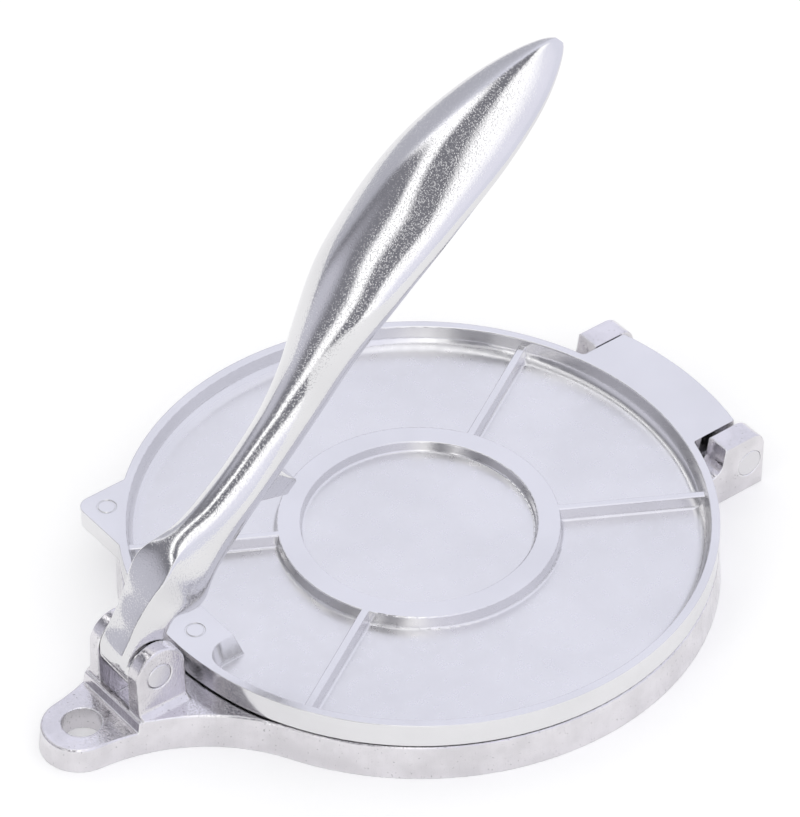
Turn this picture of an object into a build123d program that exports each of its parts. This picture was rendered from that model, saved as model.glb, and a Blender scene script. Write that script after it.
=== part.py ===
from build123d import *
import math
import os

# Cast burger press: two round plates hinged at the back, with a cam lever pinned to ears at the front.
# All sizes are millimetres. The origin is the centre of the round base on the table, +Z is up,
# +Y points from the lever to the plate hinge and -Y to the hanging tab.

# Round plates
base_radius = 103.8
base_height = 13.1
base_draft = 1.2
plate_radius = 102.5
plate_gap = 0.8
plate_thickness = 9.1
plate_bottom = base_height + plate_gap
plate_top = plate_bottom + plate_thickness
edge_round = 0.7

# Hanging tab at the front of the base
tab_centre_y = -141.7
tab_radius = 13.8
tab_height = 9.1
arm_blend_radius = 65.5
hang_hole_y = -140.9
hang_hole_radius = 6.75

# Web of the top plate: rim, ring and ribs stand over a thinner panel
panel_top = 15.7
recess_top = 16.4
ring_top = 20.4
rim_width = 3.0
rim_slope = 1.5
rim_fillet = 4.5
ring_outer_radius = 48.45
ring_inner_radius = 40.5
web_slope = 0.6
web_fillet = 1.1
web_overlap = 0.03
crest_round = 0.5
rib_width = 2.6
rib_angles = [30, 150, 210, 330]

# Front pad that the cam pushes on
pad_inner_y = -85.2
pad_half_width = 9.0
pad_corner = 8.0
pad_side_slope = 3.5
pad_inner_slope = 1.9
pad_foot_corner = 5.0

# Thumb tab at the left front of the top plate
thumb_left_x = -76.2
thumb_front_y = -89.4
thumb_thickness = 7.2
thumb_corner = 5.0

# Marks of the casting's ejector pins
mark_radius = 3.2
mark_width = 0.6
mark_depth = 0.25
pad_mark = (-0.7, -93.8)
thumb_mark = (-68.5, -81.5)

# Hinge at the back of the plates
hinge_y = 115.1
hinge_z = 11.6
hinge_pin_radius = 5.2
running_clearance = 0.05
lug_outer_x = 39.9
lug_inner_x = 30.8
lug_back_y = 121.8
lug_front_y = 103.9
lug_foot_y = 98.7
lug_top = 23.5
lug_round = 6.5
lug_edge_round = 0.8
bridge_back_y = 108.0
knuckle_radius = 8.0
knuckle_clearance = 0.6
tongue_left_x = -30.3
tongue_right_x = 28.9
tongue_back_radius = 120.3
notch_round = 1.5

# Lever ears on the base
lever_y = -118.5
lever_z = 27.3
lever_pin_radius = 4.7
lever_bore_radius = 4.77
ear_centre_y = -117.8
ear_centre_z = 27.9
ear_radius = 9.7
ear_inner_x = 8.4
ear_outer_x = 13.8
ear_draft = 2.5
ear_root_fillet = 3.4
ear_edge_round = 0.9
ridge_front_y = -128.3
ridge_width = 2.0
pocket_back_y = -108.5
pocket_floor = 4.5

# Relief of the base's underside
foot_relief = 7.0
foot_rim_width = 6.0
foot_rib_width = 6.0

# Lever, drawn along the straight line from its pivot to its tip
lever_angle = 44.0
lever_length = 244.6
eye_radius = 9.0
eye_half_width = 8.1
cam_half_width = 8.0
tooth_half_width = 7.0


def base_outline(inset):
    """Outline of the base: the disc and the tab joined by two hollow arcs, all drawn in by inset."""
    disc = base_radius - inset
    tab = tab_radius - inset
    blend = arm_blend_radius + inset
    span = -tab_centre_y
    to_disc = disc + blend
    to_tab = tab + blend
    centre_y = -(span ** 2 + to_disc ** 2 - to_tab ** 2) / (2 * span)
    centre_x = math.sqrt(to_disc ** 2 - centre_y ** 2)
    on_disc = (centre_x * disc / to_disc, centre_y * disc / to_disc)
    on_tab = (centre_x * tab / to_tab, tab_centre_y + (centre_y - tab_centre_y) * tab / to_tab)
    start = math.atan2(on_disc[1] - centre_y, on_disc[0] - centre_x)
    end = math.atan2(on_tab[1] - centre_y, on_tab[0] - centre_x) % (2 * math.pi)
    middle = (start % (2 * math.pi) + end) / 2
    on_blend = (centre_x + blend * math.cos(middle), centre_y + blend * math.sin(middle))
    edges = [
        ThreePointArc(on_disc, (0, disc), (-on_disc[0], on_disc[1])),
        ThreePointArc((-on_disc[0], on_disc[1]), (-on_blend[0], on_blend[1]), (-on_tab[0], on_tab[1])),
        ThreePointArc((-on_tab[0], on_tab[1]), (0, tab_centre_y - tab), on_tab),
        ThreePointArc(on_tab, on_blend, on_disc),
    ]
    return make_face(edges)


def web_profile():
    """Half section of the top plate from the axis outwards: rim and ring over a thin panel."""
    rim_inner = plate_radius - rim_width
    rim_foot = rim_inner - rim_slope
    points = [
        (0, plate_bottom),
        (plate_radius, plate_bottom),
        (plate_radius, plate_top),
        (rim_inner, plate_top),
        (rim_foot, panel_top),
        (ring_outer_radius + web_slope, panel_top),
        (ring_outer_radius, ring_top),
        (ring_inner_radius, ring_top),
        (ring_inner_radius - web_slope, recess_top),
        (0, recess_top),
    ]
    face = make_face(Polyline(*points, close=True))
    crests = [v for v in face.vertices() if v.Y > ring_top - 0.01 and v.X < plate_radius - 0.01]
    face = fillet(crests, crest_round)
    rim_root = [v for v in face.vertices() if abs(v.X - rim_foot) < 0.01]
    face = fillet(rim_root, rim_fillet)
    ring_roots = [v for v in face.vertices() if recess_top + 0.01 > v.Y > panel_top - 0.01
                  and ring_inner_radius - 1 < v.X < ring_outer_radius + 1]
    return fillet(ring_roots, web_fillet)


def rib(angle):
    """One radial rib between the ring and the rim, with rounded top edges and hollow feet."""
    start = ring_outer_radius - 1
    length = plate_radius - rim_width / 2 - start
    depth = ring_top - panel_top + web_overlap
    half_top = rib_width / 2
    half_foot = half_top + web_slope
    half_slab = half_foot + 2 * web_fillet
    slab = 0.5
    section = make_face(
        Polyline(
            (-half_slab, -slab), (half_slab, -slab), (half_slab, 0), (half_foot, 0),
            (half_top, depth), (-half_top, depth), (-half_foot, 0), (-half_slab, 0), close=True)
    )
    section = fillet([v for v in section.vertices() if v.Y > depth - 0.01], crest_round)
    roots = [v for v in section.vertices() if abs(v.Y) < 0.01 and abs(v.X) < half_foot + 0.01]
    section = fillet(roots, web_fillet)
    body = extrude(Plane.YZ * section, length)
    return Rot(0, 0, angle) * Pos(start, 0, panel_top - web_overlap) * body


def cylinder_x(radius, left, right, y, z):
    """Round bar along X between left and right."""
    return Pos((left + right) / 2, y, z) * Rot(0, 90, 0) * Cylinder(radius, right - left)


def ejector_mark(x, y, z):
    """Ring groove that an ejector pin leaves in a top face at height z."""
    ring = Circle(mark_radius + mark_width / 2) - Circle(mark_radius - mark_width / 2)
    return extrude(Pos(x, y, z - mark_depth) * ring, mark_depth + 1)


def slab_along_x(points, left, right):
    """Solid with the given outline in Y and Z, reaching from left to right along X."""
    face = Plane.YZ * make_face(Polyline(*points, close=True))
    return Pos(left, 0, 0) * extrude(face, right - left)


def lug_profile():
    """Side view of a hinge lug: hollow foot in front, leaning front face, flat top and rounded back corner."""
    buried_y = 92
    lean = 1.2
    hollow_top = base_height + 3.5
    front = (lug_front_y - lean, hollow_top)
    lines = [
        Line((buried_y, 0), (lug_back_y, 0)),
        Line((lug_back_y, 0), (lug_back_y, lug_top - lug_round)),
        RadiusArc((lug_back_y, lug_top - lug_round), (lug_back_y - lug_round, lug_top), -lug_round),
        Line((lug_back_y - lug_round, lug_top), (lug_front_y, lug_top)),
        Line((lug_front_y, lug_top), front),
        ThreePointArc(front, (lug_foot_y + 2.3, base_height + 1.1), (lug_foot_y, base_height)),
        Line((lug_foot_y, base_height), (buried_y, base_height)),
        Line((buried_y, base_height), (buried_y, 0)),
    ]
    return make_face(lines)


def make_hinge_lugs():
    """The two lugs and the bridge that carries them, with the hollow for the plate's knuckle."""
    lug = extrude(Plane.YZ * lug_profile(), lug_outer_x - lug_inner_x)
    upper = [e for e in lug.edges() if e.center().Y > lug_front_y + 2 and e.center().Z > 1
             and abs(e.tangent_at(0.5).X) < 0.01]
    lug = fillet(upper, lug_edge_round)
    lugs = Pos(lug_inner_x, 0, 0) * lug + Pos(-lug_outer_x, 0, 0) * lug
    bridge = slab_along_x(
        [(88, 0), (bridge_back_y, 0), (bridge_back_y, base_height), (88, base_height)],
        -lug_inner_x - 1, lug_inner_x + 1)
    hollow = cylinder_x(knuckle_radius + knuckle_clearance, -lug_inner_x, lug_inner_x, hinge_y, hinge_z)
    return lugs + (bridge - hollow)


def make_ear(side):
    """One ear of the lever clevis, with a hollow root. side is +1 for the right ear and -1 for the left."""
    front_y = ear_centre_y - ear_radius
    back_y = ear_centre_y + ear_radius
    view = make_face([
        Line((front_y, pocket_floor), (back_y, pocket_floor)),
        Line((back_y, pocket_floor), (back_y, ear_centre_z)),
        ThreePointArc((back_y, ear_centre_z), (ear_centre_y, ear_centre_z + ear_radius), (front_y, ear_centre_z)),
        Line((front_y, ear_centre_z), (front_y, pocket_floor)),
    ])
    lean = math.tan(math.radians(ear_draft))
    crown_z = ear_centre_z + ear_radius
    foot_x = ear_outer_x + (lever_z - base_height) * lean
    section = make_face(Polyline(
        (ear_inner_x, pocket_floor), (ear_inner_x, crown_z),
        (ear_outer_x - (crown_z - lever_z) * lean, crown_z), (foot_x, base_height),
        (foot_x + 2 * ear_root_fillet, base_height), (foot_x + 2 * ear_root_fillet, pocket_floor), close=True))
    section = fillet([v for v in section.vertices() if abs(v.X - foot_x) < 0.01], ear_root_fillet)
    across = Pos(0, back_y, 0) * extrude(Plane.XZ * section, 2 * ear_radius)
    ear = across & extrude(Plane.YZ * view, foot_x + 2 * ear_root_fillet)
    rims = [e for e in ear.edges() if e.center().X > ear_inner_x + 2 and e.center().Z > ear_centre_z - 12
            and abs(e.tangent_at(0.5).X) < 0.3]
    ear = fillet(rims, ear_edge_round)
    ear = ear & extrude(base_outline(base_draft), crown_z)
    if side < 0:
        ear = mirror(ear, Plane.YZ)
    return ear


def make_base():
    """Base casting: disc, flared arms, hanging tab, lever ears and hinge lugs in one piece."""
    body = loft([base_outline(0), Pos(0, 0, base_height) * base_outline(base_draft)])
    step = slab_along_x(
        [(ridge_front_y, base_height + 1), (ridge_front_y - 0.9, tab_height), (-165, tab_height),
         (-165, base_height + 1)], -40, 40)
    body -= step
    body = fillet(
        [e for e in body.edges() if abs(e.center().Z - base_height) < 0.01 or
         (abs(e.center().Z - tab_height) < 0.01 and e.center().Y < tab_centre_y)],
        edge_round)
    body += make_hinge_lugs()
    body += make_ear(1)
    body += make_ear(-1)
    pocket = Box(
        2 * ear_inner_x, pocket_back_y - (ridge_front_y + ridge_width), 60,
        align=(Align.CENTER, Align.MIN, Align.MIN))
    body -= Pos(0, ridge_front_y + ridge_width, pocket_floor) * pocket
    body -= Pos(0, hang_hole_y, 0) * Cylinder(hang_hole_radius, 60)
    body -= cylinder_x(lever_bore_radius, -30, 30, lever_y, lever_z)
    body -= cylinder_x(hinge_pin_radius, -60, 60, hinge_y, hinge_z)
    body -= make_underside()
    return body


def make_underside():
    """Relief of the base's underside: ribs between a solid middle and the rim that the base stands on."""
    relief = Cylinder(base_radius - foot_rim_width, foot_relief, align=(Align.CENTER, Align.CENTER, Align.MIN))
    middle = Cylinder(ring_outer_radius, foot_relief, align=(Align.CENTER, Align.CENTER, Align.MIN))
    relief -= middle
    for angle in rib_angles:
        bar = Box(base_radius, foot_rib_width, foot_relief, align=(Align.MIN, Align.CENTER, Align.MIN))
        relief -= Rot(0, 0, angle + 90) * bar
    return relief


def pad_outline(half_width, inner_y, corner, rim_inner):
    """Outline of the front pad, whose sides flare into the inside of the rim with a round corner."""
    buried = plate_radius - 1
    corner_x = half_width + corner
    corner_y = -math.sqrt((rim_inner - corner) ** 2 - corner_x ** 2)
    reach = rim_inner / (rim_inner - corner)
    touch = (corner_x * reach, corner_y * reach)
    hidden = (touch[0] * buried / rim_inner, touch[1] * buried / rim_inner)
    toward = math.radians(215)
    middle = (corner_x + corner * math.cos(toward), corner_y + corner * math.sin(toward))
    return make_face([
        Line((-half_width, inner_y), (half_width, inner_y)),
        Line((half_width, inner_y), (half_width, corner_y)),
        ThreePointArc((half_width, corner_y), middle, touch),
        Line(touch, hidden),
        ThreePointArc(hidden, (0, -buried), (-hidden[0], hidden[1])),
        Line((-hidden[0], hidden[1]), (-touch[0], touch[1])),
        ThreePointArc((-touch[0], touch[1]), (-middle[0], middle[1]), (-half_width, corner_y)),
        Line((-half_width, corner_y), (-half_width, inner_y)),
    ])


def make_pad():
    """Pad on the centre line at the front, as high as the rim, with sloped ends."""
    rim_inner = plate_radius - rim_width
    lower = pad_outline(
        pad_half_width + pad_side_slope, pad_inner_y + pad_inner_slope, pad_foot_corner, rim_inner - rim_slope)
    upper = pad_outline(pad_half_width, pad_inner_y, pad_corner, rim_inner)
    return loft([Pos(0, 0, panel_top - web_overlap) * lower, Pos(0, 0, plate_top) * upper], ruled=True)


def make_top_plate():
    """Top plate casting: pressing disc with its web, pad, thumb tab and hinge tongue."""
    plate = revolve(Plane.XZ * web_profile(), Axis.Z)
    plate += make_tongue()
    thumb = Pos(thumb_left_x, thumb_front_y, plate_top - thumb_thickness) * Box(
        40, 40, thumb_thickness, align=(Align.MIN, Align.MIN, Align.MIN))
    thumb = fillet(
        [e for e in thumb.edges().filter_by(Axis.Z) if e.center().X < thumb_left_x + 1
         and e.center().Y < thumb_front_y + 1], thumb_corner)
    plate += thumb - Pos(0, 0, plate_bottom) * Cylinder(plate_radius - rim_width / 2, 60)
    plate += make_pad()
    for angle in rib_angles:
        plate += rib(angle + 90)
    plate -= cylinder_x(hinge_pin_radius + running_clearance, -60, 60, hinge_y, hinge_z)
    plate -= ejector_mark(pad_mark[0], pad_mark[1], plate_top)
    plate -= ejector_mark(thumb_mark[0], thumb_mark[1], plate_top)
    return plate


def make_tongue():
    """Tongue behind the disc, flush with the rim, over a round knuckle for the hinge pin."""
    sheet = Rectangle(tongue_right_x - tongue_left_x, 40, align=(Align.MIN, Align.MIN))
    sheet = Pos(tongue_left_x, 85) * sheet
    sheet = sheet & Circle(tongue_back_radius)
    sheet = sheet + Circle(plate_radius)
    inner = [v for v in sheet.vertices() if abs(math.hypot(v.X, v.Y) - plate_radius) < 0.01 and v.Y > 50]
    sheet = fillet(inner, notch_round)
    slab = extrude(Pos(0, 0, plate_bottom) * sheet, plate_thickness)
    slab -= Pos(0, 0, plate_bottom) * Cylinder(plate_radius - rim_width / 2, 60)
    knuckle = cylinder_x(knuckle_radius, tongue_left_x, tongue_right_x, hinge_y, hinge_z)
    return slab + knuckle


def lever_section(station, top, middle, bottom, half_width, crest_half_width):
    """Section of the lever across its length: a narrow crowned top over wide rounded sides.

    top, middle and bottom are heights over the straight line from pivot to tip; the section is
    widest at the middle height."""
    crown = 0.12 * crest_half_width
    shoulder = top - crown
    rise = shoulder - middle
    drop = middle - bottom
    crest = ThreePointArc((-crest_half_width, shoulder), (0, top), (crest_half_width, shoulder))
    sides = Spline(
        (crest_half_width, shoulder),
        (0.5 * (crest_half_width + half_width), middle + 0.62 * rise),
        (half_width, middle),
        (0.72 * half_width, middle - 0.72 * drop),
        (0, bottom),
        (-0.72 * half_width, middle - 0.72 * drop),
        (-half_width, middle),
        (-0.5 * (crest_half_width + half_width), middle + 0.62 * rise),
        (-crest_half_width, shoulder),
    )
    plane = Plane(origin=(station, 0, 0), x_dir=(0, 1, 0), z_dir=(1, 0, 0))
    return plane * make_face([crest, sides])


# Stations of the lever from the eye to the tip: place along the lever, height of its top, of its widest
# place and of its underside over the straight line, half width, and half width of the crest.
lever_stations = [
    (9, 14.6, 8.5, 1.0, 7.9, 5.5),
    (20, 17.6, 9.2, 3.5, 8.0, 6.2),
    (32, 18.8, 9.5, 1.0, 8.6, 6.8),
    (45, 16.8, 7.0, -1.6, 9.2, 4.6),
    (60, 14.5, 6.0, -2.6, 9.05, 4.1),
    (78, 14.2, 5.7, -2.8, 8.95, 4.1),
    (95, 15.8, 7.0, -1.9, 9.6, 4.3),
    (112, 20.3, 10.8, 1.0, 11.9, 5.1),
    (128, 25.5, 14.8, 4.0, 15.3, 6.1),
    (146, 29.0, 17.5, 6.0, 18.8, 7.1),
    (166, 28.6, 17.3, 5.9, 20.5, 7.6),
    (184, 26.7, 15.9, 5.1, 20.9, 7.5),
    (202, 21.9, 12.4, 2.8, 19.5, 6.9),
    (220, 15.6, 8.0, 0.3, 15.6, 5.4),
    (233, 10.2, 4.7, -0.8, 10.8, 3.4),
    (241, 6.2, 2.6, -0.9, 6.0, 1.8),
]


def along_lever(outline, half_width):
    """Solid across the lever with the given outline in lever coordinates, centred on the middle plane."""
    face = Plane.XZ * outline
    return extrude(face, half_width, both=True)


def make_lever():
    """Cast lever in one piece: eye, cam lobe, neck, stop tooth and leaf-shaped grip."""
    sections = [lever_section(*row) for row in lever_stations]
    tip = Vertex(lever_length, 0, 1.3)
    body = loft(sections + [tip])
    eye = Rot(90, 0, 0) * Cylinder(eye_radius, 2 * eye_half_width)
    eye = fillet(eye.edges(), 0.8)
    body += eye
    cam = make_face([
        Spline((7.5, 4.9), (17, 6.6), (20.6, 0.6), (24.6, -3.8), (29.6, -5.2), (35.4, -1.4), (45.1, 3.0)),
        Line((45.1, 3.0), (43.2, 15.4)),
        Spline((43.2, 15.4), (33.5, 18.4), (25.7, 17.8), (14.2, 14.8), (3.5, 8.3)),
        Line((3.5, 8.3), (7.5, 4.9)),
    ])
    cam = along_lever(cam, cam_half_width)
    body += cam
    tooth = make_face(Polyline((63, 2), (71.8, -10.0), (75.8, -10.5), (77.0, -9.6), (77.4, 2), close=True))
    body += along_lever(tooth, tooth_half_width)
    body -= Rot(90, 0, 0) * Cylinder(lever_bore_radius, 60)
    turned = Rot(0, -lever_angle, 0) * body
    return Pos(0, lever_y, lever_z) * Rot(0, 0, 90) * turned


def make_pin(radius, half_length, y, z):
    """Plain headless pin along X with small end chamfers."""
    pin = cylinder_x(radius, -half_length, half_length, y, z)
    return chamfer(pin.edges().filter_by(GeomType.CIRCLE), 0.4)


def build_parts():
    """All pieces of the press by name."""
    return {
        "base_plate": make_base(),
        "top_plate": make_top_plate(),
        "press_lever": make_lever(),
        "lever_pin": make_pin(lever_pin_radius, ear_outer_x, lever_y, lever_z),
        "hinge_pin": make_pin(hinge_pin_radius, lug_outer_x, hinge_y, hinge_z),
    }


def main():
    """Writes one STEP file for each piece."""
    os.makedirs("parts", exist_ok=True)
    for name, piece in build_parts().items():
        export_step(piece, f"parts/{name}.step")
        print(name, len(piece.solids()), "solid, volume", round(piece.volume), "mm3")


main()
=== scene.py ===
"""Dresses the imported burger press: the cast plates, the cam lever and the pins, in a pale studio."""

import logging
import math
from dataclasses import dataclass, field
from enum import Enum
from typing import Iterable

import bmesh
import bpy
from mathutils import Matrix, Vector


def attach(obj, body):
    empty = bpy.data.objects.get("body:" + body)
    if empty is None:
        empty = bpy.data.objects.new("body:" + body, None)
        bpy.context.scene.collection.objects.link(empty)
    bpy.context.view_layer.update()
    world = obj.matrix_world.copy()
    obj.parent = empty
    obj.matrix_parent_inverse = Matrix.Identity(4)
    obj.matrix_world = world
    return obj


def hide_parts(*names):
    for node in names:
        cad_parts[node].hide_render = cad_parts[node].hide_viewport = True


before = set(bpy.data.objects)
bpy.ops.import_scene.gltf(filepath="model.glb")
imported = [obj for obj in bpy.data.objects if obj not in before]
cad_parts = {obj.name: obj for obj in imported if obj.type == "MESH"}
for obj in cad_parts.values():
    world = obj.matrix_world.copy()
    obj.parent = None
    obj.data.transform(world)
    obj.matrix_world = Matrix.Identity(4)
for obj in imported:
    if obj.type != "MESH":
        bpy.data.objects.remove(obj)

MM = 0.001
CLOUD_RANGE = (0.3, 0.7)
GRAIN_RANGE = (0.35, 0.65)
FLECK_RANGE = (0.52, 0.72)
# range of the bevel normal's match with the face normal over which a highlight is painted along edges
HIGHLIGHT_EDGE_MATCH = (0.82, 0.99)
BEVEL_SAMPLES = 6
PIT_EDGE = 0.5
PIT_SPREAD = 0.22
PIT_SOFTNESS = 0.06
PIT_DARKNESS = 0.55
PIT_COLOUR = (0.18, 0.175, 0.17, 1.0)
SATIN_FADE = 0.6
WHITE = (1.0, 1.0, 1.0, 1.0)
log = logging.getLogger("burger_press")


class Body(Enum):
    """The rigid bodies that the pieces ride on."""

    BASE = "base"
    PIN = "pin"
    LEVER = "lever"
    PLATE = "plate"


class Slot(Enum):
    """Names of the material slots."""

    CAST = "cast_aluminium"
    LEVER = "lever_aluminium"
    PIN = "pin_metal"


class NodeGraph:
    """Adds and links shader nodes of one material or world."""

    def __init__(self, tree: bpy.types.NodeTree) -> None:
        """Starts from an empty tree.

        Args:
            tree: The node tree to fill.
        """
        self.tree = tree
        self.tree.nodes.clear()

    def add(self, kind: str, **settings: object) -> bpy.types.Node:
        """Adds a node.

        Args:
            kind: The node's type name.
            settings: Attributes to set on it.

        Returns:
            The new node.
        """
        node = self.tree.nodes.new(kind)
        for name, value in settings.items():
            setattr(node, name, value)
        return node

    def link(self, source: bpy.types.NodeSocket, target: bpy.types.NodeSocket) -> None:
        """Links one socket to another."""
        self.tree.links.new(source, target)

    def feed(self, node: bpy.types.Node, inputs: dict[int | str, object]) -> bpy.types.Node:
        """Sets or links a node's inputs.

        Args:
            node: The node whose inputs are set.
            inputs: Socket name or index, with a number, a colour or a socket to link.

        Returns:
            The same node.
        """
        for key, value in inputs.items():
            if isinstance(value, bpy.types.NodeSocket):
                self.link(value, node.inputs[key])
            else:
                node.inputs[key].default_value = value
        return node

    def math(self, operation: str, a: object, b: object = 0.0, clamp: bool = False) -> bpy.types.NodeSocket:
        """Adds a Math node.

        Args:
            operation: The operation's name.
            a: First value or socket.
            b: Second value or socket.
            clamp: Whether the result is held between 0 and 1.

        Returns:
            The result's socket.
        """
        node = self.add("ShaderNodeMath", operation=operation, use_clamp=clamp)
        return self.feed(node, {0: a, 1: b}).outputs[0]

    def smooth_range(self, value: object, low: float, high: float, to_low: float = 0.0,
                     to_high: float = 1.0) -> bpy.types.NodeSocket:
        """Maps a value from one range to another with soft ends.

        Args:
            value: The value or socket.
            low: Start of the input range.
            high: End of the input range.
            to_low: Result at low.
            to_high: Result at high.

        Returns:
            The result's socket.
        """
        node = self.add("ShaderNodeMapRange", interpolation_type="SMOOTHSTEP")
        inputs = {"Value": value, "From Min": low, "From Max": high, "To Min": to_low, "To Max": to_high}
        return self.feed(node, inputs).outputs["Result"]

    def mix_colour(self, factor: object, a: object, b: object, blend: str = "MIX") -> bpy.types.NodeSocket:
        """Mixes two colours.

        Args:
            factor: Share of the second colour.
            a: First colour or socket.
            b: Second colour or socket.
            blend: The blend mode.

        Returns:
            The mixed colour's socket.
        """
        node = self.add("ShaderNodeMix", data_type="RGBA", blend_type=blend)
        sockets = [s for s in node.inputs if s.type == "RGBA"]
        self.feed(node, {0: factor})
        for socket, value in zip(sockets, (a, b)):
            if isinstance(value, bpy.types.NodeSocket):
                self.link(value, socket)
            else:
                socket.default_value = value
        return next(s for s in node.outputs if s.type == "RGBA")


@dataclass(frozen=True)
class MetalFinish:
    """A cast aluminium surface: its tint, its gloss, the grain left by grinding, its small pits and a highlight
    painted along its edges.

    Lengths are in metres and colours are linear. The grain is a noise drawn out along one axis."""

    name: str
    tint: tuple[float, float, float]
    roughness: float
    roughness_spread: float
    grain_size: float
    grain_stretch: tuple[float, float, float] = (1.0, 1.0, 1.0)
    grain_height: float = 0.00001
    cloud_size: float = 0.03
    cloud_shade: float = 0.06
    pit_size: float = 0.002
    pit_share: float = 0.0
    pit_depth: float = 0.0001
    fleck_size: float = 0.0004
    fleck_height: float = 0.0
    edge_radius: float = 0.0004
    # share of white painted along the edges as a highlight
    edge_highlight_paint: float = 0.0
    satin_top: float = 0.0
    satin_reach: float = 0.098
    satin_roughness: float = 0.3

    def material(self) -> bpy.types.Material:
        """Builds the material.

        Returns:
            The new material.
        """
        made = bpy.data.materials.new(self.name)
        made.use_nodes = True
        graph = NodeGraph(made.node_tree)
        place = graph.add("ShaderNodeTexCoord").outputs["Object"]
        grain = self._grain(graph, place)
        clouds = self._noise(graph, place, self.cloud_size, 3.0)
        shade = graph.smooth_range(clouds, *CLOUD_RANGE, 1.0 - self.cloud_shade, 1.0)
        colour = graph.mix_colour(1.0, (*self.tint, 1.0), shade, "MULTIPLY")
        low = self.roughness - self.roughness_spread
        high = self.roughness + self.roughness_spread
        rough = graph.smooth_range(grain, *GRAIN_RANGE, low, high)
        if self.satin_top > 0:
            rough = self._satin(graph, place, rough)
        shader = graph.add("ShaderNodeBsdfPrincipled")
        graph.feed(shader, {"Metallic": 1.0, "Roughness": rough})
        height, colour = self._pits(graph, place, grain, colour)
        if self.fleck_height > 0:
            flecks = graph.smooth_range(self._noise(graph, place, self.fleck_size, 1.0), *FLECK_RANGE)
            height = graph.math("ADD", height, graph.math("MULTIPLY", flecks, self.fleck_height))
        edge_bevel = graph.add("ShaderNodeBevel", samples=BEVEL_SAMPLES)
        graph.feed(edge_bevel, {"Radius": self.edge_radius})
        # painted highlight: the colour is brightened towards white along the edges, where the bevel bends the normal
        if self.edge_highlight_paint > 0:
            colour = self._paint_edge_highlight(graph, edge_bevel.outputs["Normal"], colour)
        bump = graph.add("ShaderNodeBump")
        graph.feed(bump, {"Height": height, "Strength": 1.0, "Distance": 1.0})
        graph.link(edge_bevel.outputs["Normal"], bump.inputs["Normal"])
        graph.feed(shader, {"Base Color": colour, "Normal": bump.outputs["Normal"]})
        end = graph.add("ShaderNodeOutputMaterial")
        graph.link(shader.outputs["BSDF"], end.inputs["Surface"])
        return made

    def _satin(self, graph: NodeGraph, place: bpy.types.NodeSocket,
               rough: bpy.types.NodeSocket) -> bpy.types.NodeSocket:
        """Makes the panels at the bottom of a dish duller than its walls.

        Args:
            graph: The material's graph.
            place: Object coordinates.
            rough: Roughness of the rest.

        Returns:
            The roughness with the satin panels.
        """
        flat = graph.add("ShaderNodeVectorMath", operation="MULTIPLY")
        graph.feed(flat, {0: place, 1: (1.0, 1.0, 0.0)})
        reach = graph.add("ShaderNodeVectorMath", operation="LENGTH")
        graph.feed(reach, {0: flat.outputs["Vector"]})
        parts = graph.add("ShaderNodeSeparateXYZ")
        graph.feed(parts, {0: place})
        inside = graph.smooth_range(reach.outputs["Value"], self.satin_reach - MM, self.satin_reach, 1.0, 0.0)
        fade = self.satin_top + SATIN_FADE * MM
        low = graph.smooth_range(parts.outputs["Z"], self.satin_top, fade, 1.0, 0.0)
        share = graph.math("MULTIPLY", inside, low)
        duller = graph.math("MULTIPLY", share, self.satin_roughness - self.roughness)
        return graph.math("ADD", rough, duller)

    def _paint_edge_highlight(self, graph: NodeGraph, edge_bevel: bpy.types.NodeSocket,
                     colour: bpy.types.NodeSocket) -> bpy.types.NodeSocket:
        """Paints a highlight: brightens the colour towards white where the bevelled normal leaves the face's own
        normal, on every edge.
        """
        own = graph.add("ShaderNodeNewGeometry").outputs["Normal"]
        match = graph.add("ShaderNodeVectorMath", operation="DOT_PRODUCT")
        graph.feed(match, {0: edge_bevel, 1: own})
        edge = graph.smooth_range(match.outputs["Value"], *HIGHLIGHT_EDGE_MATCH, self.edge_highlight_paint, 0.0)
        # painted highlight: white mixed into the colour along the edges
        return graph.mix_colour(edge, colour, WHITE)

    def _noise(self, graph: NodeGraph, place: bpy.types.NodeSocket, size: float,
               detail: float) -> bpy.types.NodeSocket:
        """Noise with features of about the given size in metres."""
        noise = graph.add("ShaderNodeTexNoise")
        graph.feed(noise, {"Vector": place, "Scale": 1.0 / size, "Detail": detail})
        return noise.outputs["Fac"]

    def _grain(self, graph: NodeGraph, place: bpy.types.NodeSocket) -> bpy.types.NodeSocket:
        """Noise of the ground or cast skin, drawn out along its stretch."""
        mapping = graph.add("ShaderNodeMapping")
        graph.feed(mapping, {"Vector": place, "Scale": self.grain_stretch})
        return self._noise(graph, mapping.outputs["Vector"], self.grain_size, 4.0)

    def _pits(self, graph: NodeGraph, place: bpy.types.NodeSocket, grain: bpy.types.NodeSocket,
              colour: bpy.types.NodeSocket) -> tuple[bpy.types.NodeSocket, bpy.types.NodeSocket]:
        """Adds pits to the grain's height and darkens them.

        Returns:
            The height's socket and the colour's socket.
        """
        height = graph.math("MULTIPLY", grain, self.grain_height)
        if self.pit_share <= 0:
            return height, colour
        spots = self._noise(graph, place, self.pit_size, 2.0)
        edge = PIT_EDGE + PIT_SPREAD * (1.0 - self.pit_share)
        pits = graph.smooth_range(spots, edge, edge + PIT_SOFTNESS)
        height = graph.math("SUBTRACT", height, graph.math("MULTIPLY", pits, self.pit_depth))
        dark = graph.mix_colour(graph.math("MULTIPLY", pits, PIT_DARKNESS), colour, PIT_COLOUR)
        return height, dark


PLATE_FACE = MetalFinish("plate_face", (0.785, 0.78, 0.79), 0.19, 0.03, 0.004, grain_height=0.000002,
                         fleck_size=0.0009, fleck_height=0.000001, satin_top=0.0165)
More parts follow.
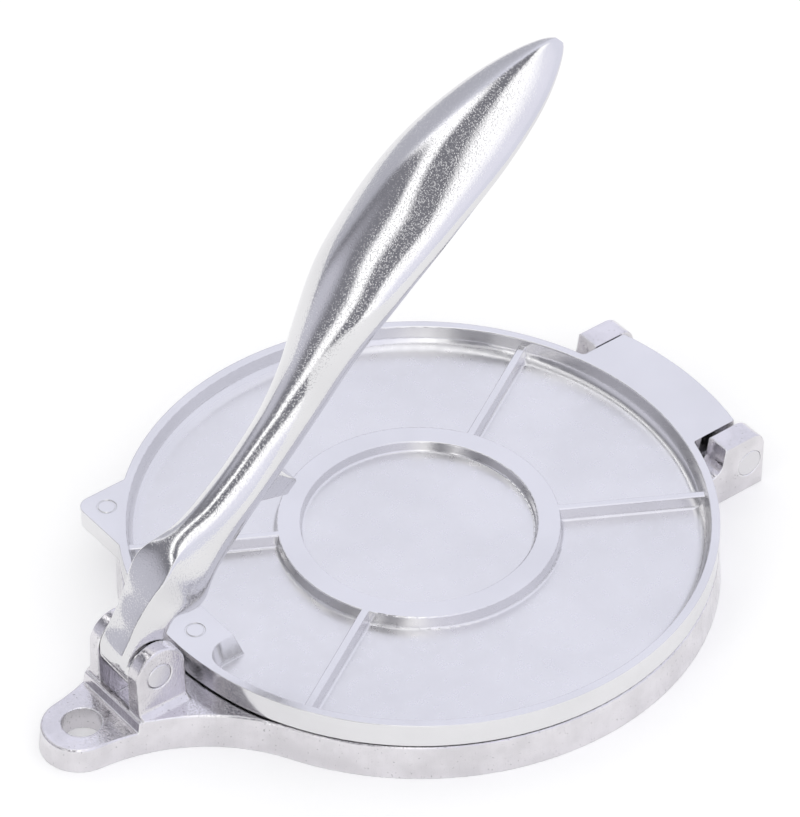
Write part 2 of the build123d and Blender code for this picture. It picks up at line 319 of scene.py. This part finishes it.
# the base skin gets a highlight painted in white along its edges
BASE_SKIN = MetalFinish("base_skin", (0.78, 0.76, 0.785), 0.16, 0.09, 0.0009, (1.0, 1.0, 0.07), 0.00003,
                        cloud_size=0.012, cloud_shade=0.14, pit_share=0.14, pit_size=0.0009,
                        fleck_size=0.0006, fleck_height=0.000024, edge_radius=0.0009, edge_highlight_paint=0.9)
LEVER_SKIN = MetalFinish("lever_skin", (0.75, 0.745, 0.755), 0.075, 0.03, 0.0009, grain_height=0.00001,
                         fleck_size=0.0005, fleck_height=0.000016)
PIN_END = MetalFinish("pin_end", (0.74, 0.73, 0.75), 0.24, 0.03, 0.0008, grain_height=0.000004)


def finish_object(shape: bmesh.types.BMesh, name: str, material: bpy.types.Material, body: Body) -> bpy.types.Object:
    """Turns a bmesh in metres into a piece of the press.

    Args:
        shape: The mesh, freed here.
        name: The piece's name.
        material: Its finish.
        body: The body that it rides on.

    Returns:
        The new object.
    """
    mesh = bpy.data.meshes.new(name)
    shape.to_mesh(mesh)
    shape.free()
    mesh.materials.append(material)
    piece = bpy.data.objects.new(name, mesh)
    bpy.context.scene.collection.objects.link(piece)
    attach(piece, body.value)
    log.info("%s: %d vertices", name, len(mesh.vertices))
    return piece


def smooth_shade(shape: bmesh.types.BMesh, sharp_degrees: float) -> None:
    """Shades all faces smooth and marks the edges that turn more than an angle as sharp.

    Args:
        shape: The mesh.
        sharp_degrees: Least angle of a sharp edge.
    """
    limit = math.radians(sharp_degrees)
    for face in shape.faces:
        face.smooth = True
    for edge in shape.edges:
        edge.smooth = edge.calc_face_angle(0.0) < limit


@dataclass
class CastPiece:
    """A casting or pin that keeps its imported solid's shape, merged and smoothly shaded."""

    node: str
    body: Body
    slot: Slot
    material: bpy.types.Material
    edge_degrees: float = 32.0
    flat_degrees: float = 0.4
    merge_distance: float = 1e-6

    def build(self) -> bpy.types.Object:
        """Builds the dressed piece.

        Returns:
            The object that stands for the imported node.
        """
        shape = bmesh.new()
        shape.from_mesh(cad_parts[self.node].data)
        bmesh.ops.remove_doubles(shape, verts=shape.verts, dist=self.merge_distance)
        bmesh.ops.dissolve_limit(shape, angle_limit=math.radians(self.flat_degrees), verts=shape.verts,
                                 edges=shape.edges)
        smooth_shade(shape, self.edge_degrees)
        piece = finish_object(shape, f"{self.node}_dressed", self.material, self.body)
        normals = piece.modifiers.new("flat_faces", "WEIGHTED_NORMAL")
        normals.keep_sharp = True
        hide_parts(self.node)
        return piece


@dataclass(frozen=True)
class LeverRing:
    """One section of the lever's neck or grip, in millimetres.

    place runs along the straight line from pivot to tip, heights are square to it. The crest is the
    top face between the two creases, which is as wide as crest on each side of the middle."""

    place: float
    top: float
    crest: float
    half_width: float
    middle: float
    bottom: float
    foot: float
    crease: float = 0.0
    roundness: float = 0.0


@dataclass
class PressLever:
    """The cast lever: eye, cam lobe, neck, stop tooth and leaf-shaped grip."""

    material: bpy.types.Material
    pivot: tuple[float, float] = (-118.5, 27.3)
    angle: float = 44.0
    eye_half_width: float = 8.1
    bore_radius: float = 4.77
    eye_radius: float = 8.9
    eye_round: float = 0.9
    roof: float = 1.55
    crown: float = 0.55
    crown_shoulder: float = 0.65
    tip_ridge: float = 0.35
    ridge_start: float = 130.0
    cage_swell: float = 1.035
    side_rows: int = 7
    skin_levels: int = 3
    cap_inset: float = 0.4
    eye_steps: int = 96
    rings: tuple[LeverRing, ...] = field(default_factory=lambda: (
        LeverRing(-7.4, 3.2, 4.6, 7.4, 0.5, -2.0, 6.0, 0.3),
        LeverRing(-6.4, 7.2, 5.2, 7.6, 3.0, -4.0, 6.5, 0.5),
        LeverRing(-4.5, 10.2, 5.5, 7.8, 5.5, -4.0, 6.8, 0.7),
        LeverRing(-1.6, 12.2, 5.7, 7.9, 7.5, -4.0, 6.9, 0.8),
        LeverRing(2.0, 12.9, 5.7, 7.9, 8.0, -4.0, 7.0, 0.8),
        LeverRing(5.5, 13.7, 5.6, 7.8, 8.2, -3.0, 7.2, 0.8),
        LeverRing(9.3, 15.0, 5.5, 7.8, 8.3, 0.4, 7.4, 0.8),
        LeverRing(13.2, 16.0, 5.7, 8.6, 8.2, 2.5, 8.0, 0.8),
        LeverRing(17.1, 16.9, 6.1, 9.7, 9.0, 5.1, 8.7, 0.8),
        LeverRing(20.0, 17.8, 6.7, 9.8, 8.5, 5.4, 8.7, 0.8),
        LeverRing(22.4, 18.4, 7.2, 9.8, 6.1, 0.7, 8.5, 0.8),
        LeverRing(25.7, 19.1, 7.9, 9.9, 4.2, -3.0, 8.5, 0.8),
        LeverRing(29.6, 19.4, 8.4, 9.9, 4.1, -3.4, 8.5, 0.8),
        LeverRing(34.4, 19.3, 7.1, 9.8, 4.5, -0.7, 8.3, 0.75),
        LeverRing(39.3, 18.5, 5.0, 9.6, 5.3, -0.2, 7.7, 0.7, 0.2),
        LeverRing(45.2, 16.8, 3.9, 9.3, 5.8, -1.9, 6.5, 0.6, 0.5),
        LeverRing(51.9, 15.2, 3.9, 9.1, 6.0, -2.6, 5.5, 0.45, 0.75),
        LeverRing(59.7, 14.5, 4.1, 9.0, 5.9, -2.6, 4.9, 0.3, 0.9),
        LeverRing(68.4, 14.0, 4.1, 8.9, 5.5, -3.0, 4.7, 0.15, 1.0),
        LeverRing(78.0, 14.2, 4.1, 8.9, 5.7, -2.8, 4.7, 0.0, 1.0),
        LeverRing(87.7, 14.6, 4.1, 9.1, 6.1, -2.6, 4.7, 0.0, 1.0),
        LeverRing(97.3, 16.2, 4.3, 9.8, 7.3, -1.7, 4.9, 0.0, 1.0),
        LeverRing(107, 18.5, 4.7, 11.0, 9.1, -0.3, 5.3, 0.0, 1.0),
        LeverRing(116.5, 22.0, 5.3, 12.8, 12.0, 1.9, 5.9, 0.0, 1.0),
        LeverRing(126, 25.0, 5.9, 14.8, 14.4, 3.7, 6.5, 0.0, 1.0),
        LeverRing(135.6, 27.5, 6.5, 17.0, 16.4, 5.1, 7.3, 0.0, 1.0),
        LeverRing(145.2, 29.0, 7.1, 18.7, 17.5, 5.9, 8.0, 0.0, 1.0),
        LeverRing(154.7, 29.1, 7.4, 19.5, 17.7, 6.1, 8.4, 0.0, 1.0),
        LeverRing(166.1, 28.6, 7.6, 20.5, 17.3, 5.9, 8.6, 0.0, 1.0),
        LeverRing(177.5, 27.8, 7.6, 20.9, 16.7, 5.6, 8.6, 0.0, 1.0),
        LeverRing(189, 25.7, 7.4, 20.7, 15.2, 4.6, 8.4, 0.0, 1.0),
        LeverRing(200.5, 22.4, 7.0, 19.8, 12.7, 3.0, 8.0, 0.0, 1.0),
        LeverRing(212, 18.5, 6.3, 17.7, 10.0, 1.5, 7.2, 0.0, 1.0),
        LeverRing(222.6, 14.6, 5.1, 14.9, 7.3, 0.0, 6.1, 0.0, 1.0),
        LeverRing(231.2, 10.9, 3.7, 11.5, 5.1, -0.7, 4.7, 0.0, 1.0),
        LeverRing(238, 7.7, 2.4, 7.8, 3.4, -1.0, 3.1, 0.0, 1.0),
        LeverRing(242.8, 4.4, 1.2, 4.3, 1.9, -0.6, 1.8, 0.0, 1.0),
        LeverRing(244.5, 2.6, 0.5, 1.8, 1.1, -0.3, 0.8, 0.0, 1.0),
    ))
    tooth_near: float = 69.3
    tooth_far: float = 77.4
    tooth_top: float = 1.0
    tooth_foot: float = -10.4
    tooth_half_width: float = 7.05

    def build(self) -> list[bpy.types.Object]:
        """Builds the lever's pieces.

        Returns:
            The grip with its neck, the eye and the tooth.
        """
        grip = self._grip()
        eye = self._eye()
        tooth = self._tooth()
        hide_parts("press_lever")
        return [grip, eye, tooth]

    def _to_frame(self) -> Matrix:
        """Turns lever coordinates (across, along, up) in millimetres into the row frame in metres."""
        turn = Matrix.Rotation(math.radians(self.angle), 4, "X")
        return Matrix.Scale(MM, 4) @ Matrix.Translation((0.0, *self.pivot)) @ turn

    def _section(self, ring: LeverRing, corner: int, corners: int) -> Vector:
        """Place of one corner of a section's control cage.

        Args:
            ring: The section.
            corner: Number of the corner, from the top middle to the bottom middle.
            corners: Number of the bottom middle corner.

        Returns:
            Distance from the middle and height, as a 2-D vector.
        """
        turn = math.pi * corner / corners
        upper = ring.top - ring.middle
        lower = ring.middle - ring.bottom
        upright = math.cos(turn)
        if upright > 0:
            past = max(0.0, (ring.place - self.ridge_start) / self.ridge_start)
            power = 2 / (self.roof - self.tip_ridge * past)
            wide = math.sin(turn) ** power
            height = upper * upright ** power
        else:
            wide = math.sin(turn)
            height = lower * upright
        swell = self.cage_swell
        oval = Vector((swell * ring.half_width * wide, ring.middle + swell * height))
        flank = ring.half_width - ring.crest
        walls = (
            Vector((0.0, ring.top + self.crown)),
            Vector((0.6 * ring.crest, ring.top + self.crown_shoulder * self.crown)),
            Vector((ring.crest, ring.top)),
            Vector((ring.crest + 0.45 * flank, ring.top - 0.4 * upper)),
            Vector((ring.half_width, ring.middle)),
            Vector((ring.half_width + 0.2, ring.bottom + 0.25 * lower)),
            Vector((ring.foot, ring.bottom - 0.3)),
            Vector((0.0, ring.bottom)),
        )
        return walls[corner].lerp(oval, ring.roundness)

    def _grip(self) -> bpy.types.Object:
        """Lofts the neck and the grip through the sections.

        Returns:
            The lofted object.
        """
        corners = self.side_rows
        around = 2 * corners
        shape = bmesh.new()
        crease = shape.edges.layers.float.new("crease_edge")
        loops = []
        for ring in self.rings:
            made = bmesh.ops.create_circle(shape, cap_ends=False, radius=1.0, segments=around)["verts"]
            for number, vert in enumerate(made):
                corner = min(number, around - number)
                side = 1.0 if number <= corners else -1.0
                across, height = self._section(ring, corner, corners)
                vert.co = (side * across, ring.place, height)
            loops.append(made)
        edges_of = [self._ring_edges(made) for made in loops]
        for first, second in zip(edges_of, edges_of[1:]):
            bmesh.ops.bridge_loops(shape, edges=[*first, *second])
        self._close(shape, loops[0])
        self._close(shape, loops[-1])
        self._mark_creases(shape, crease, loops)
        bmesh.ops.recalc_face_normals(shape, faces=shape.faces)
        bmesh.ops.transform(shape, matrix=self._to_frame(), verts=shape.verts)
        smooth_shade(shape, 180.0)
        piece = finish_object(shape, "lever_grip", self.material, Body.LEVER)
        rounding = piece.modifiers.new("rounding", "SUBSURF")
        rounding.levels = self.skin_levels
        rounding.render_levels = self.skin_levels
        return piece

    @staticmethod
    def _ring_edges(made: list[bmesh.types.BMVert]) -> list[bmesh.types.BMEdge]:
        """Edges that join a ring's vertices to each other."""
        inside = set(made)
        found = {edge for vert in made for edge in vert.link_edges}
        return [edge for edge in found if set(edge.verts) <= inside]

    def _close(self, shape: bmesh.types.BMesh, made: list[bmesh.types.BMVert]) -> None:
        """Caps an end ring with a smaller ring and a face."""
        face = shape.faces.new(made)
        bmesh.ops.inset_individual(shape, faces=[face], thickness=self.cap_inset)

    def _mark_creases(self, shape: bmesh.types.BMesh, layer: bmesh.types.BMLayerItem,
                      loops: list[list[bmesh.types.BMVert]]) -> None:
        """Sharpens the two lines beside the crest as much as each section says."""
        for index, (near, far) in enumerate(zip(loops, loops[1:])):
            for number in (2, len(near) - 2):
                edge = shape.edges.get((near[number], far[number]))
                if edge is not None:
                    edge[layer] = min(self.rings[index].crease, self.rings[index + 1].crease)

    def _eye(self) -> bpy.types.Object:
        """Spins the eye's round wall about the pivot.

        Returns:
            The eye's object.
        """
        side = self.eye_half_width
        inner = side - self.eye_round
        edge = self.eye_radius - self.eye_round
        half = 0.3 * self.eye_round
        wall = [
            (-side, self.bore_radius), (-side, edge), (-side + half, self.eye_radius - half),
            (-inner, self.eye_radius), (inner, self.eye_radius), (side - half, self.eye_radius - half),
            (side, edge), (side, self.bore_radius),
        ]
        shape = bmesh.new()
        corners = [shape.verts.new((across, 0.0, radius)) for across, radius in wall]
        edges = [shape.edges.new(pair) for pair in zip(corners, corners[1:] + corners[:1])]
        bmesh.ops.spin(shape, geom=corners + edges, cent=(0, 0, 0), axis=(1, 0, 0), angle=2 * math.pi,
                       steps=self.eye_steps, use_merge=True)
        bmesh.ops.remove_doubles(shape, verts=shape.verts, dist=1e-5)
        bmesh.ops.recalc_face_normals(shape, faces=shape.faces)
        bmesh.ops.transform(shape, matrix=self._to_frame(), verts=shape.verts)
        smooth_shade(shape, 40.0)
        return finish_object(shape, "lever_eye", self.material, Body.LEVER)

    def _tooth(self) -> bpy.types.Object:
        """Shapes the stop tooth under the neck.

        Returns:
            The tooth's object.
        """
        shape = bmesh.new()
        made = bmesh.ops.create_cube(shape, size=1.0)["verts"]
        for vert in made:
            low = vert.co.z < 0
            far = vert.co.y > 0
            across = self.tooth_half_width * (0.92 if low else 1.0)
            along = self.tooth_far if far else (self.tooth_near + (2.0 if low else -4.0))
            height = self.tooth_foot if low else self.tooth_top
            vert.co = (math.copysign(across, vert.co.x), along, height)
        bmesh.ops.bevel(shape, geom=shape.edges[:], offset=0.8, affect="EDGES", segments=3, profile=0.5,
                        material=-1)
        bmesh.ops.transform(shape, matrix=self._to_frame(), verts=shape.verts)
        smooth_shade(shape, 30.0)
        return finish_object(shape, "lever_tooth", self.material, Body.LEVER)


@dataclass
class Studio:
    """A pale table in a pale room, with two soft boxes and the camera of the photograph.

    Directions are (azimuth, elevation) in degrees as seen from the press, azimuth counted from +X."""

    camera_azimuth: float = 51.882
    camera_elevation: float = 40.906
    camera_roll: float = 0.15
    camera_distance: float = 1.75
    aim_right: float = -0.00647
    aim_away: float = 0.08155
    lens: float = 221.294
    sensor: float = 36.0
    wall_colour: tuple[float, float, float] = (0.93, 0.94, 1.06)
    shade_colour: tuple[float, float, float] = (0.56, 0.565, 0.63)
    arch_middle: tuple[float, float] = (235.0, 5.0)
    arch_front: tuple[float, float] = (270.0, 40.0)
    arch_reach: float = 110.0
    arch_peak: float = 1.75
    arches: tuple[tuple[float, float], ...] = (
        (0, 0.40), (18, 0.37), (27, 0.27), (34, 0.15), (47, 0.15), (52.5, 0.95), (57, 1.0), (61, 0.14),
        (73.5, 0.14), (77, 0.85), (85, 0.85), (94, 0.58),
    )
    front_fade: tuple[float, float] = (0.2, 0.42)
    side_axis: tuple[float, float, float] = (-1.0, 0.0, -0.25)
    side_fade: tuple[float, float] = (0.72, 0.92)
    floor_half: float = 3.0
    floor_colour: tuple[float, float, float, float] = (0.92, 0.92, 0.93, 1.0)
    floor_lift: float = 0.22
    lamp_distance: float = 6.0
    fill_level: float = 0.85

    def build(self) -> None:
        """Builds the floor, the world, the lamps and the camera."""
        self._floor()
        self._world()
        self._soft_box("side_box", (286.0, 1.0), (270.0, 60.0), 1.2, 1.2)
        self._soft_box("front_box", (346.0, 2.0), (316.0, 60.0), 1.6, 0.9)
        self._camera()

    def _floor(self) -> None:
        """Makes a wide matt floor that keeps soft shadows."""
        shape = bmesh.new()
        bmesh.ops.create_grid(shape, x_segments=1, y_segments=1, size=self.floor_half)
        mesh = bpy.data.meshes.new("floor")
        shape.to_mesh(mesh)
        shape.free()
        material = bpy.data.materials.new("floor_paper")
        material.use_nodes = True
        graph = NodeGraph(material.node_tree)
        matt = graph.add("ShaderNodeBsdfDiffuse")
        graph.feed(matt, {"Color": self.floor_colour})
        lift = graph.add("ShaderNodeEmission")
        graph.feed(lift, {"Color": WHITE, "Strength": self._seen(graph, self.floor_lift)})
        both = graph.add("ShaderNodeAddShader")
        graph.feed(both, {0: matt.outputs[0], 1: lift.outputs[0]})
        end = graph.add("ShaderNodeOutputMaterial")
        graph.link(both.outputs[0], end.inputs["Surface"])
        mesh.materials.append(material)
        floor = bpy.data.objects.new("floor", mesh)
        bpy.context.scene.collection.objects.link(floor)

    @staticmethod
    def _seen(graph: NodeGraph, strength: float) -> bpy.types.NodeSocket:
        """Strength for rays that are seen directly or in a reflection, and none for the rest."""
        path = graph.add("ShaderNodeLightPath")
        straight = graph.math("ADD", path.outputs["Is Camera Ray"], path.outputs["Is Glossy Ray"], True)
        seen = graph.math("ADD", straight, path.outputs["Is Transmission Ray"], True)
        return graph.math("MULTIPLY", seen, strength)

    def _world(self) -> None:
        """Makes the room: white where it is seen, pale with bright and dark arches in reflections."""
        world = bpy.data.worlds.new("room")
        bpy.context.scene.world = world
        world.use_nodes = True
        graph = NodeGraph(world.node_tree)
        direction = graph.add("ShaderNodeTexCoord").outputs["Generated"]
        away = graph.math("ARCCOSINE", self._dot(graph, direction, self._outward(*self.arch_middle)))
        ring = graph.math("MULTIPLY", away, 180.0 / math.pi / self.arch_reach)
        bright = self._arches(graph, ring)
        ahead = self._dot(graph, direction, self._outward(*self.arch_front))
        front = graph.smooth_range(ahead, *self.front_fade)
        aside = self._dot(graph, direction, Vector(self.side_axis))
        side = graph.smooth_range(aside, *self.side_fade)
        wall = graph.mix_colour(side, (*self.wall_colour, 1.0), (*self.shade_colour, 1.0))
        room = graph.mix_colour(front, wall, bright)
        path = graph.add("ShaderNodeLightPath")
        mirrored = graph.math("ADD", path.outputs["Is Glossy Ray"], path.outputs["Is Transmission Ray"], True)
        seen_colour = graph.mix_colour(mirrored, WHITE, room)
        fill = graph.add("ShaderNodeBackground")
        graph.feed(fill, {"Color": WHITE, "Strength": self.fill_level})
        view = graph.add("ShaderNodeBackground")
        graph.feed(view, {"Color": seen_colour, "Strength": 1.0})
        either = graph.add("ShaderNodeMixShader")
        graph.feed(either, {0: self._seen(graph, 1.0), 1: fill.outputs[0], 2: view.outputs[0]})
        end_node = graph.add("ShaderNodeOutputWorld")
        graph.link(either.outputs[0], end_node.inputs["Surface"])

    @staticmethod
    def _outward(azimuth: float, elevation: float) -> Vector:
        """Unit vector towards an azimuth and elevation in degrees."""
        flat = math.cos(math.radians(elevation))
        turn = math.radians(azimuth)
        return Vector((math.cos(turn) * flat, math.sin(turn) * flat, math.sin(math.radians(elevation))))

    @staticmethod
    def _dot(graph: NodeGraph, direction: bpy.types.NodeSocket, axis: Vector) -> bpy.types.NodeSocket:
        """Share of a direction that runs along an axis."""
        node = graph.add("ShaderNodeVectorMath", operation="DOT_PRODUCT")
        graph.feed(node, {0: direction, 1: tuple(axis)})
        return node.outputs["Value"]

    def _arches(self, graph: NodeGraph, ring: bpy.types.NodeSocket) -> bpy.types.NodeSocket:
        """Brightness of the pale and dark arches that the metal mirrors.

        Args:
            graph: The world's graph.
            ring: Angle from the middle of the arches, as a share of their reach.

        Returns:
            The arches' colour.
        """
        ramp = graph.add("ShaderNodeValToRGB")
        graph.link(ring, ramp.inputs[0])
        stops = ramp.color_ramp.elements
        while len(stops) < len(self.arches):
            stops.new(1.0)
        for stop, (angle, level) in zip(stops, self.arches):
            stop.position = angle / self.arch_reach
            stop.color = (level, level, level if level > 0.8 else 1.12 * level, 1.0)
        scale = graph.add("ShaderNodeVectorMath", operation="SCALE")
        graph.feed(scale, {0: ramp.outputs["Color"], "Scale": self.arch_peak})
        return scale.outputs["Vector"]

    def _soft_box(self, name: str, low: tuple[float, float], high: tuple[float, float], width: float,
                  brightness: float) -> None:
        """Hangs a strip-shaped soft box that faces the press.

        Args:
            name: The lamp's name.
            low: Direction of its lower end.
            high: Direction of its upper end.
            width: Width in metres.
            brightness: How bright its face looks, where 1 is white.
        """
        ends = [self._outward(*end) * self.lamp_distance for end in (low, high)]
        outward = (ends[0] + ends[1]).normalized()
        length = (ends[1] - ends[0]).length
        upward = (ends[1] - ends[0]).normalized()
        lamp = bpy.data.lights.new(name, "AREA")
        lamp.shape = "RECTANGLE"
        lamp.size = width
        lamp.size_y = length
        lamp.energy = brightness * math.pi * width * length
        holder = bpy.data.objects.new(name, lamp)
        turn = Matrix((upward.cross(outward), upward, outward)).transposed()
        holder.matrix_world = Matrix.Translation(outward * self.lamp_distance) @ turn.to_4x4()
        holder.visible_glossy = False
        bpy.context.scene.collection.objects.link(holder)

    def _camera(self) -> None:
        """Places the camera where the photograph was taken from."""
        azimuth = math.radians(self.camera_azimuth)
        elevation = math.radians(self.camera_elevation)
        right = Vector((math.cos(azimuth), math.sin(azimuth), 0.0))
        away = Vector((-math.sin(azimuth), math.cos(azimuth), 0.0))
        forward = away * math.cos(elevation) - Vector((0.0, 0.0, math.sin(elevation)))
        aim = right * self.aim_right + away * self.aim_away
        data = bpy.data.cameras.new("photo_camera")
        data.sensor_fit = "HORIZONTAL"
        data.sensor_width = self.sensor
        data.lens = self.lens
        data.clip_end = 100.0
        camera = bpy.data.objects.new("photo_camera", data)
        camera.location = aim - forward * self.camera_distance
        level = forward.to_track_quat("-Z", "Y").to_matrix()
        roll = Matrix.Rotation(math.radians(self.camera_roll), 3, "Z")
        camera.rotation_euler = (level @ roll).to_euler()
        bpy.context.scene.collection.objects.link(camera)
        bpy.context.scene.camera = camera


def main() -> None:
    """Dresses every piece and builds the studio."""
    logging.basicConfig(level=logging.INFO, format="%(name)s: %(message)s")
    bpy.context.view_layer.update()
    plate_face = PLATE_FACE.material()
    base_skin = BASE_SKIN.material()
    pin_end = PIN_END.material()
    castings = (
        CastPiece("base_plate", Body.BASE, Slot.CAST, base_skin),
        CastPiece("top_plate", Body.PLATE, Slot.CAST, plate_face),
        CastPiece("lever_pin", Body.PIN, Slot.PIN, pin_end),
        CastPiece("hinge_pin", Body.BASE, Slot.PIN, pin_end),
    )
    for casting in castings:
        casting.build()
    PressLever(LEVER_SKIN.material()).build()
    Studio().build()
    bpy.context.scene.view_settings.view_transform = "Standard"


if __name__ == "__main__":
    main()
